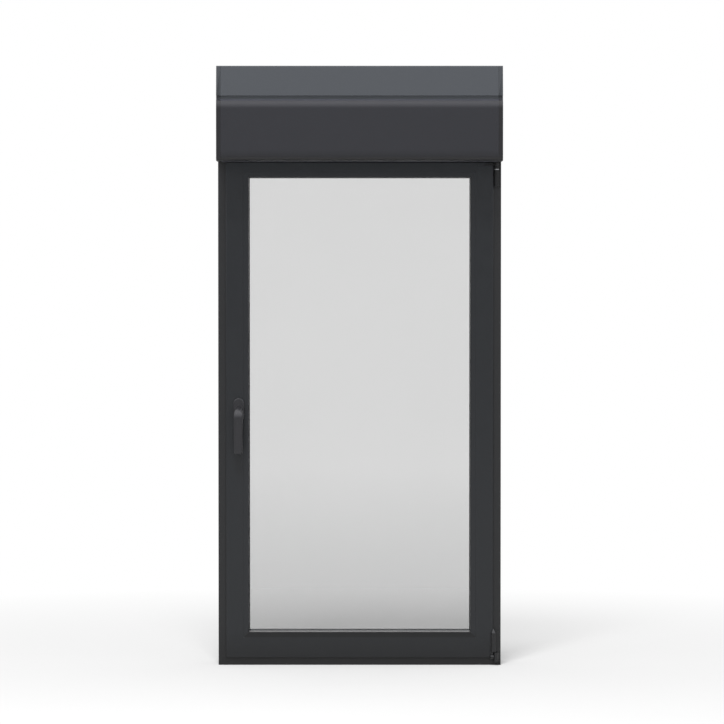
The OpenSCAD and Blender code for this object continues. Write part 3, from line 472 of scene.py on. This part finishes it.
class WindowStudio(bpy.types.PropertyGroup):
    """Camera and light."""

    distance: FloatProperty(
        name="Distance", description="Camera to the frame's room face",
        unit="LENGTH", default=9.985)
    eye: FloatProperty(
        name="Eye height", description="Height of the camera",
        unit="LENGTH", default=1.156)
    aside: FloatProperty(
        name="Aside", description="Camera to the right of the window's centre",
        unit="LENGTH", default=0.0068)
    pitch: FloatProperty(
        name="Pitch", description="Angle of the view below the horizon",
        subtype="ANGLE", default=math.radians(1.70))
    lens: FloatProperty(
        name="Lens", description="Focal length",
        subtype="DISTANCE_CAMERA", default=175.5)
    sky: FloatProperty(
        name="Sky", description="Strength of the soft light from all round",
        default=0.62)
    key: FloatProperty(
        name="Key", description="Power of the soft box",
        unit="POWER", default=640.0)
    key_size: FloatVectorProperty(
        name="Key size", description="Width and height of the soft box",
        unit="LENGTH", size=2, default=(2.3, 2.4))
    key_place: FloatVectorProperty(
        name="Key place", description="Where the soft box stands",
        subtype="TRANSLATION", unit="LENGTH", size=3, default=(-0.6, -4.7, 6.7))
    key_aim: FloatVectorProperty(
        name="Key aim", description="What the soft box points at",
        subtype="TRANSLATION", unit="LENGTH", size=3, default=(0.0, 0.0, 0.7))
    floor: FloatProperty(
        name="Floor", description="Lightness of the floor",
        subtype="FACTOR", min=0.0, max=1.0, default=0.655)
    fade_near: FloatProperty(
        name="Fade from", description="Distance where the floor starts to turn white",
        unit="LENGTH", default=0.15)
    fade_far: FloatProperty(
        name="Fade to", description="Distance where the floor is white",
        unit="LENGTH", default=2.9)


# Modelling helpers


def section(bm, centre, side, up, rx, ry, segments, square=0.0):
    """A closed loop about centre: an ellipse that squares off to a rounded rectangle."""
    normal = side.cross(up).normalized()
    matrix = Matrix((
        (side.x, up.x, normal.x, centre.x),
        (side.y, up.y, normal.y, centre.y),
        (side.z, up.z, normal.z, centre.z),
        (0.0, 0.0, 0.0, 1.0),
    ))
    made = bmesh.ops.create_circle(bm, cap_ends=False, segments=segments, radius=1.0)["verts"]
    power = 2 + square
    for vert in made:
        x, y = vert.co.x, vert.co.y
        length = (abs(x) ** power + abs(y) ** power) ** (1 / power)
        vert.co = Vector((x / length * rx, y / length * ry, 0.0))
    bmesh.ops.transform(bm, matrix=matrix, verts=made)
    return edges_of(made)


def stadium(bm, x, y, z, width, height):
    """A closed loop in the plane of X and Z: two half circles joined by upright sides."""
    turn = Matrix.Rotation(math.pi / STADIUM_SEGMENTS, 4, "Z")
    made = bmesh.ops.create_circle(
        bm, cap_ends=False, segments=STADIUM_SEGMENTS, radius=1.0, matrix=turn)["verts"]
    for vert in made:
        side = math.copysign((height - width) / 2, vert.co.y)
        vert.co = Vector((x + vert.co.x * width / 2, y, z + vert.co.y * width / 2 + side))
    return edges_of(made)


def edges_of(verts):
    """The edges at these points, each once and always in the same order."""
    return list(dict.fromkeys(edge for vert in verts for edge in vert.link_edges))


def loft(bm, loops):
    """Joins each loop to the next one."""
    for a, b in zip(loops, loops[1:]):
        bmesh.ops.bridge_loops(bm, edges=a + b)


def finish_piece(bm, name, material, body, smooth=True):
    """Turns a bmesh into a piece that rides on a body."""
    bmesh.ops.remove_doubles(bm, verts=bm.verts, dist=MERGE)
    bmesh.ops.recalc_face_normals(bm, faces=bm.faces)
    mesh = bpy.data.meshes.new(name)
    bm.to_mesh(mesh)
    bm.free()
    piece = bpy.data.objects.new(name, mesh)
    bpy.context.scene.collection.objects.link(piece)
    for polygon in mesh.polygons:
        polygon.use_smooth = smooth
    mesh.materials.append(material)
    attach(piece, body)
    return piece


def soften(piece):
    """Rounds a piece's edges."""
    bevel = piece.modifiers.new("Edges", "BEVEL")
    bevel.width = bpy.context.scene.window_sizes.edge
    bevel.segments = 2
    bevel.limit_method = "ANGLE"
    bevel.angle_limit = EDGE_ANGLE
    bevel.harden_normals = True


def body_of(node):
    """The body that carries a CAD node."""
    bodies = frame["record"]["behaviour"]["bodies"]
    return next(name for name, nodes in bodies.items() if node in nodes)


def slot_of(node):
    """The material slot of a CAD node."""
    parts = frame["record"]["subparts"]
    return next(part["material_slot"] for part in parts if part["node"] == node)


def finish_of(slot):
    return bpy.data.materials["finish_" + slot]


def slot_finishes(colours):
    """Each slot's material."""
    grey = (0.010, 0.010, 0.011)
    return {
        # Frame and sash: painted shade towards the foot and painted light under the box
        "frame_paint": powder_coat("frame_paint", colours.frame, bands=BAR_PAINTED_SHADE_AND_LIGHT),
        "sash_paint": powder_coat("sash_paint", colours.sash, 0.33, bands=BAR_PAINTED_SHADE_AND_LIGHT),
        "outer_paint": powder_coat("outer_paint", colours.frame, 0.45),
        "insulating_plastic": moulded("insulating_plastic", grey, 0.55, **PLASTIC),
        "bare_aluminium": drawn_metal("bare_aluminium", (0.56, 0.57, 0.59), ALONG_X, 0.34),
        "seal_rubber": moulded("seal_rubber", grey, 0.72, **RUBBER),
        "zinc_steel": drawn_metal("zinc_steel", STEEL, ALONG_Z, 0.28),
        "gear_metal": drawn_metal("gear_metal", (0.44, 0.42, 0.36), EVEN, 0.36),
        # The panes: painted shade towards their foot
        "pane_glass": pane_glass(
            "pane_glass", (0.02, 0.022, 0.022), colours.glass_alpha, colours.painted_shade_alpha),
        "block_plastic": moulded("block_plastic", (0.03, 0.10, 0.24), 0.5, **PLASTIC),
        "handle_paint": powder_coat("handle_paint", colours.handle, 0.34, grain=0.00001),
        "hinge_paint": powder_coat("hinge_paint", colours.frame, 0.36),
        # The box: painted shade at the inspection cover's foot, and a painted highlight on its
        # shoulder
        "box_paint": powder_coat("box_paint", colours.box, bands=(FOOT_PAINTED_SHADE, SHOULDER_PAINTED_HIGHLIGHT)),
        # The upper cover: painted light on the wall of the groove
        "upper_box_paint": powder_coat("upper_box_paint", colours.upper, 0.40, bands=GROOVE_PAINTED_LIGHT),
        "motor_black": powder_coat("motor_black", (0.012, 0.012, 0.012), 0.5),
        "slat_plastic": moulded("slat_plastic", (0.05, 0.052, 0.057), 0.45, **PLASTIC),
    }


def own_finishes(colours):
    """Materials of the nodes that differ from their slot's: most carry painted light or shade."""
    # End caps: painted light, lighter above the covers' top like the upper cover, with the painted
    # highlight on the shoulder
    cap = powder_coat(
        "end_cap_paint", colours.end_cap, bands=(SHOULDER_PAINTED_HIGHLIGHT,),
        top=toned(colours.upper, 0.82), split=COVER_TOP)
    # Top of the painted light on the box base's underside
    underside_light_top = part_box("box_base")[0][2] + 0.003
    # Where the painted highlight on the lower bead's top starts, in height and depth
    ledge_foot = BEAD_BOX[0][2] + 0.0148
    ledge_front = BEAD_BOX[0][1] + 0.016
    return {
        "end_cap_left": cap,
        "end_cap_right": cap,
        # Box base: painted light, its underside 3.5 times as light as the box, lifting the shadow
        # under the box
        "box_base": powder_coat(
            "box_base_paint", toned(colours.box, 3.5), top=colours.box, split=underside_light_top),
        # Lower bead: painted shade, a fifth of the sash's tone, with the painted highlight on its
        # top
        "bead_bottom": powder_coat(
            "ledge_paint", toned(colours.sash, 0.2), 0.33,
            top=colours.ledge, split=ledge_foot, depth=ledge_front, top_gloss=0.24),
        # Strikers: painted shade, steel darkened to the shadow under the box
        "strikers": drawn_metal("striker_steel", (0.09, 0.09, 0.094), ALONG_Z, 0.4),
        "upper_pin": drawn_metal("pin_steel", STEEL, ALONG_Z, 0.28, dark_below=1.38),
    }


def toned(rgb, gain):
    """A colour setting made darker or lighter."""
    return tuple(gain * part for part in rgb)


# The stage


def add_floor(scene, studio):
    """A matt floor that fades to white for the camera, round a point in front of the window."""
    reach = 30.0
    behind = 16.0
    middle_y = -0.6
    bm = bmesh.new()
    bmesh.ops.create_grid(bm, x_segments=2, y_segments=2, size=1.0)
    bmesh.ops.scale(bm, vec=(reach, reach, 1.0), verts=bm.verts)
    bmesh.ops.translate(bm, vec=(0.0, behind, 0.0), verts=bm.verts)
    mesh = bpy.data.meshes.new("floor")
    bm.to_mesh(mesh)
    bm.free()
    floor = bpy.data.objects.new("floor", mesh)
    scene.collection.objects.link(floor)
    made, g = new_material("floor")
    x, y, _ = g.split(g.place())
    radius = (x ** 2.0 + (y - middle_y) ** 2.0) ** 0.5
    away = (radius - studio.fade_near) / (studio.fade_far - studio.fade_near)
    lit = g.shader(Base_Color=colour([studio.floor] * 3), Roughness=0.9, Specular_IOR_Level=0.0)
    white = g.node("ShaderNodeEmission", {}, {"Color": WHITE, "Strength": 1.0})
    seen, _ = g.rays()
    fade = g.node(
        "ShaderNodeMath", {"operation": "MINIMUM", "use_clamp": True}, {0: away, 1: seen})
    mixed = g.node("ShaderNodeMixShader", {}, {0: fade, 1: lit, 2: white})
    g.node("ShaderNodeOutputMaterial", {}, {"Surface": mixed})
    mesh.materials.append(made)


def add_sky(scene, studio):
    """White for the camera, an even grey for matt surfaces, and a sky for glossy ones."""
    world = bpy.data.worlds.new("studio")
    scene.world = world
    world.use_nodes = True
    g = Graph(world.node_tree)
    seen, glossy = g.rays()
    _, y, height = g.split(g.node("ShaderNodeTexCoord", output="Generated"))
    sky = g.node("ShaderNodeValToRGB", {"ramp": SKY}, {0: height * 0.5 + 0.5})
    behind = g.node(
        "ShaderNodeMath", {"operation": "MULTIPLY", "use_clamp": True}, {0: y, 1: SKY_TURN})
    sky = g.mix(behind, sky, SKY_BEHIND)
    soft = g.mix(glossy, colour([studio.sky] * 3), sky)
    background = g.node(
        "ShaderNodeBackground", {}, {"Color": g.mix(seen, soft, WHITE), "Strength": 1.0})
    g.node("ShaderNodeOutputWorld", {}, {"Surface": background})


def add_key(scene, studio):
    """A soft box above and in front, which no surface mirrors."""
    lamp = bpy.data.lights.new("soft_box", "AREA")
    lamp.shape = "RECTANGLE"
    lamp.size, lamp.size_y = studio.key_size
    lamp.energy = studio.key
    light = bpy.data.objects.new("soft_box", lamp)
    scene.collection.objects.link(light)
    light.location = studio.key_place
    aim = Vector(studio.key_aim) - light.location
    light.rotation_euler = aim.to_track_quat("-Z", "Y").to_euler()
    light.visible_glossy = False


def add_camera(scene, studio):
    """The photo's view."""
    camera = bpy.data.objects.new("camera", bpy.data.cameras.new("camera"))
    scene.collection.objects.link(camera)
    camera.data.lens = studio.lens
    camera.data.sensor_width = 36.0
    camera.data.clip_end = 60.0
    camera.location = (studio.aside, ROOM_FACE - studio.distance, studio.eye)
    camera.rotation_euler = (math.pi / 2 - studio.pitch, 0.0, 0.0)
    scene.camera = camera


# Operators


class WINDOW_OT_finishes(bpy.types.Operator):
    """Gives every CAD node the material of its slot, or its own"""

    bl_idname = "window.finishes"
    bl_label = "Finishes"

    def execute(self, context):
        made = slot_finishes(context.scene.window_colours)
        own = own_finishes(context.scene.window_colours)
        for node, piece in frame["nodes"].items():
            material = own.get(node, made[slot_of(node)])
            if not piece.material_slots:
                piece.data.materials.append(material)
            for held in piece.material_slots:
                held.material = material
        return {"FINISHED"}


class WINDOW_OT_covers(bpy.types.Operator):
    """Models the inspection cover and the end caps again with a smooth, longer shoulder"""

    bl_idname = "window.covers"
    bl_label = "Covers"

    def execute(self, context):
        sizes = context.scene.window_sizes
        # The solids' shoulder: how far back it reaches, its middle below the top, its half height
        behind = CAD_BOUNDS[0][1] + 0.0105
        drop = 0.0093
        half = 0.0097
        at_top = Matrix.Translation((0.0, 0.0, -COVER_TOP))
        for node in ("inspection_cover", "end_cap_left", "end_cap_right"):
            source = frame["nodes"][node]
            bm = bmesh.new()
            bm.from_mesh(source.data)
            bmesh.ops.remove_doubles(bm, verts=bm.verts, dist=WELD)
            shoulder = [v for v in bm.verts
                        if v.co.y < behind and abs(v.co.z - COVER_TOP + drop) < half]
            bmesh.ops.scale(bm, vec=(1.0, 1.0, sizes.shoulder), space=at_top, verts=shoulder)
            material = source.material_slots[0].material
            piece = finish_piece(bm, node + "_smooth", material, body_of(node))
            piece.data.set_sharp_from_angle(angle=COVER_SHARP)
            if node != "inspection_cover":
                soften(piece)
            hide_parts(node)
        return {"FINISHED"}


class WINDOW_OT_lever(bpy.types.Operator):
    """Models the lever as one smooth swept form"""

    bl_idname = "window.lever"
    bl_label = "Lever"

    def execute(self, context):
        sizes = context.scene.window_sizes
        low, high = LEVER_BOX
        axis_x = (low[0] + high[0]) / 2
        axis_z = high[2] - 0.012
        tip = low[2]
        middle = low[1] + sizes.grip_depth / 2
        # Half widths and half depths of neck, shoulder and grip
        neck = 0.0095
        shoulder = (high[0] - low[0]) / 2
        grip = sizes.grip_width / 2
        flat = sizes.grip_depth / 2
        # Where the round neck ends, how soon the bend widens, how square the grip's section is, and
        # the share of the grip along which its width changes
        neck_end = 0.030
        bend = sizes.lever_bend
        flare = 0.7
        squareness = 0.8
        settled = 0.8
        # How much thinner the grip is halfway, how far it leans towards the sash, and its end
        waist = 0.0006
        lean = 0.0012
        tip_length = 0.004
        blunt = 0.14
        across = Vector((1.0, 0.0, 0.0))
        down = math.pi / 2
        bm = bmesh.new()
        loops = []

        def add(y, z, angle, rx, ry, square=0.0):
            up = Vector((0.0, -math.sin(angle), math.cos(angle)))
            centre = Vector((axis_x, y, z))
            loops.append(section(bm, centre, across, up, rx, ry, sizes.lever_segments, square))

        add(high[1], axis_z, 0.0, neck, neck)
        add(middle + neck_end, axis_z, 0.0, neck, neck)
        steps = 12
        for i in range(steps + 1):
            t = i / steps
            a = t * math.pi / 2
            rx = neck + (shoulder - neck) * math.sin(a) ** flare
            ry = neck + (flat - neck) * t * t * (3 - 2 * t)
            y = middle + bend - bend * math.sin(a)
            add(y, axis_z - bend + bend * math.cos(a), a, rx, ry, squareness * t)
        start = axis_z - bend
        length = start - tip - tip_length
        steps = 15
        for i in range(1, steps):
            t = i / steps
            turn = math.pi / 2 * min(1.0, t / settled)
            rx = shoulder + (grip - shoulder) * math.sin(turn) ** 2
            ry = flat - waist * math.sin(math.pi * t)
            y = middle + lean * (1 - math.cos(math.pi * t))
            add(y, start - t * length, down, rx, ry, squareness)
        for t in (0.45, 0.75, 0.93, 1.0):
            size = math.sqrt(max(0.0, 1 - t * t)) * (1 - blunt) + blunt
            z = tip + tip_length * (1 - t)
            add(middle + 2 * lean, z, down, grip * size, flat * (1 + size) / 2, squareness)
        loft(bm, loops)
        for end in (loops[0], loops[-1]):
            bmesh.ops.edgeloop_fill(bm, edges=end)
        slot = "handle_paint"
        piece = finish_piece(bm, "lever_smooth", finish_of(slot), body_of("lever"))
        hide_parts("lever")
        return {"FINISHED"}


class WINDOW_OT_rosette(bpy.types.Operator):
    """Models the rosette's cover with a rounded rim and a collar round the lever's neck"""

    bl_idname = "window.rosette"
    bl_label = "Rosette"

    def execute(self, context):
        sizes = context.scene.window_sizes
        low, high = ROSETTE_BOX
        x = (low[0] + high[0]) / 2
        z = (low[2] + high[2]) / 2
        width = high[0] - low[0]
        height = high[2] - low[2]
        rim = sizes.rim
        # The collar's width, its hole, and the narrowing at its top
        collar = 2 * sizes.collar
        hole = collar - 0.0044
        chamfer = 0.0012
        # The face, its rise towards the collar, and where the chamfer starts in front of it
        front = low[1] + 0.0025
        crown = 0.0003
        chamfer_foot = 0.0019
        bm = bmesh.new()
        loops = [stadium(bm, x, high[1], z, width, height)]
        steps = 6
        for i in range(steps + 1):
            a = math.pi / 2 * i / steps
            trim = 2 * rim * (1 - math.cos(a))
            y = front + rim - rim * math.sin(a)
            loops.append(stadium(bm, x, y, z, width - trim, height - trim))
        for t in (0.2, 0.4, 0.6, 0.8):
            w = width - 2 * rim + (collar - width + 2 * rim) * t
            h = height - 2 * rim + (collar - height + 2 * rim) * t
            loops.append(stadium(bm, x, front - crown * t, z, w, h))
        for size, y in (
            (collar, front - crown),
            (collar, front - chamfer_foot),
            (collar - chamfer, low[1]),
            (hole, low[1]),
            (hole, high[1]),
        ):
            loops.append(stadium(bm, x, y, z, size, size))
        loft(bm, loops + loops[:1])
        slot = "handle_paint"
        piece = finish_piece(bm, "rosette_smooth", finish_of(slot), body_of("rosette"))
        piece.data.set_sharp_from_angle(angle=ROSETTE_SHARP)
        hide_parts("rosette")
        return {"FINISHED"}


class WINDOW_OT_arm_cover(bpy.types.Operator):
    """Models the cover on the crank of the stay arm, flush with the sash"""

    bl_idname = "window.arm_cover"
    bl_label = "Arm cover"

    def execute(self, context):
        clear = 0.0003
        width = 0.0429
        depth = 0.0062
        x = SASH_BOX[1][0] - clear - width / 2
        y = SASH_BOX[0][1] + depth / 2
        foot = ARM_BOX[0][2] - clear
        top = TOP_BOX[1][2] - clear
        bm = bmesh.new()
        made = bmesh.ops.create_cube(bm, size=1.0)["verts"]
        bmesh.ops.scale(bm, vec=(width, depth, top - foot), verts=made)
        bmesh.ops.translate(bm, vec=(x, y, (foot + top) / 2), verts=made)
        slot = "sash_paint"
        body = body_of("stay_arm")
        soften(finish_piece(bm, "arm_cover", finish_of(slot), body, smooth=False))
        return {"FINISHED"}


class WINDOW_OT_mitre_plates(bpy.types.Operator):
    """Models the plates that close the corners between the beads and the sash's upper mitres"""

    bl_idname = "window.mitre_plates"
    bl_label = "Mitre plates"

    def execute(self, context):
        corner_x = BEAD_BOX[1][0]
        corner_z = BEAD_BOX[1][2]
        bead = corner_x - BEAD_BOX[0][0]
        slope = (TOP_BOX[1][2] - corner_z + bead) / (SASH_BOX[1][0] - corner_x + bead)
        face = TOP_BOX[0][1]
        thickness = 0.002
        slot = "sash_paint"
        body = body_of("sash_top")
        places = ((0.0, 0.0), (0.0, bead * (slope - 1.0)), (bead / slope - bead, 0.0))
        for name, side in (("mitre_plate_left", -1.0), ("mitre_plate_right", 1.0)):
            bm = bmesh.new()
            made = bmesh.ops.create_circle(bm, cap_ends=True, segments=3, radius=1.0)["verts"]
            for vert, (dx, dz) in zip(made, places):
                vert.co = Vector((side * (corner_x + dx), face, corner_z + dz))
            grown = bmesh.ops.extrude_face_region(bm, geom=bm.faces[:])["geom"]
            back = [part for part in grown if isinstance(part, bmesh.types.BMVert)]
            bmesh.ops.translate(bm, vec=(0.0, thickness, 0.0), verts=back)
            finish_piece(bm, name, finish_of(slot), body, smooth=False)
        return {"FINISHED"}


class WINDOW_OT_edges(bpy.types.Operator):
    """Rounds the edges of the bars, the beads and the box by a fraction of a millimetre"""

    bl_idname = "window.edges"
    bl_label = "Edges"

    def execute(self, context):
        for node in EDGED:
            piece = frame["nodes"][node]
            weld = piece.modifiers.new("Weld", "WELD")
            weld.merge_threshold = WELD
            soften(piece)
        return {"FINISHED"}


class WINDOW_OT_stage(bpy.types.Operator):
    """Sets the floor, the light and the camera"""

    bl_idname = "window.stage"
    bl_label = "Stage"

    def execute(self, context):
        studio = context.scene.window_studio
        context.scene.view_settings.view_transform = "Standard"
        for add in (add_floor, add_sky, add_key, add_camera):
            add(context.scene, studio)
        return {"FINISHED"}


STEPS = (
    "finishes", "covers", "lever", "rosette", "arm_cover", "mitre_plates", "edges", "stage",
)


class WINDOW_PT_panel(bpy.types.Panel):
    """Lists the settings and the steps in the sidebar"""

    bl_idname = "WINDOW_PT_panel"
    bl_label = "Tilt and turn window"
    bl_space_type = "VIEW_3D"
    bl_region_type = "UI"
    bl_category = "Window"

    def draw(self, context):
        for group in ("window_colours", "window_sizes", "window_studio"):
            settings = getattr(context.scene, group)
            box = self.layout.box()
            for name in settings.__annotations__:
                box.prop(settings, name)
        for step in STEPS:
            self.layout.operator("window." + step)


CLASSES = (
    WindowColours, WindowSizes, WindowStudio,
    WINDOW_OT_finishes, WINDOW_OT_covers, WINDOW_OT_lever, WINDOW_OT_rosette,
    WINDOW_OT_arm_cover, WINDOW_OT_mitre_plates, WINDOW_OT_edges, WINDOW_OT_stage,
    WINDOW_PT_panel,
)


def register():
    for cls in CLASSES:
        bpy.utils.register_class(cls)
    bpy.types.Scene.window_colours = PointerProperty(type=WindowColours)
    bpy.types.Scene.window_sizes = PointerProperty(type=WindowSizes)
    bpy.types.Scene.window_studio = PointerProperty(type=WindowStudio)


def unregister():
    del bpy.types.Scene.window_studio
    del bpy.types.Scene.window_sizes
    del bpy.types.Scene.window_colours
    for cls in reversed(CLASSES):
        bpy.utils.unregister_class(cls)


def main():
    register()
    for step in STEPS:
        getattr(bpy.ops.window, step)()


if __name__ == "__main__":
    main()
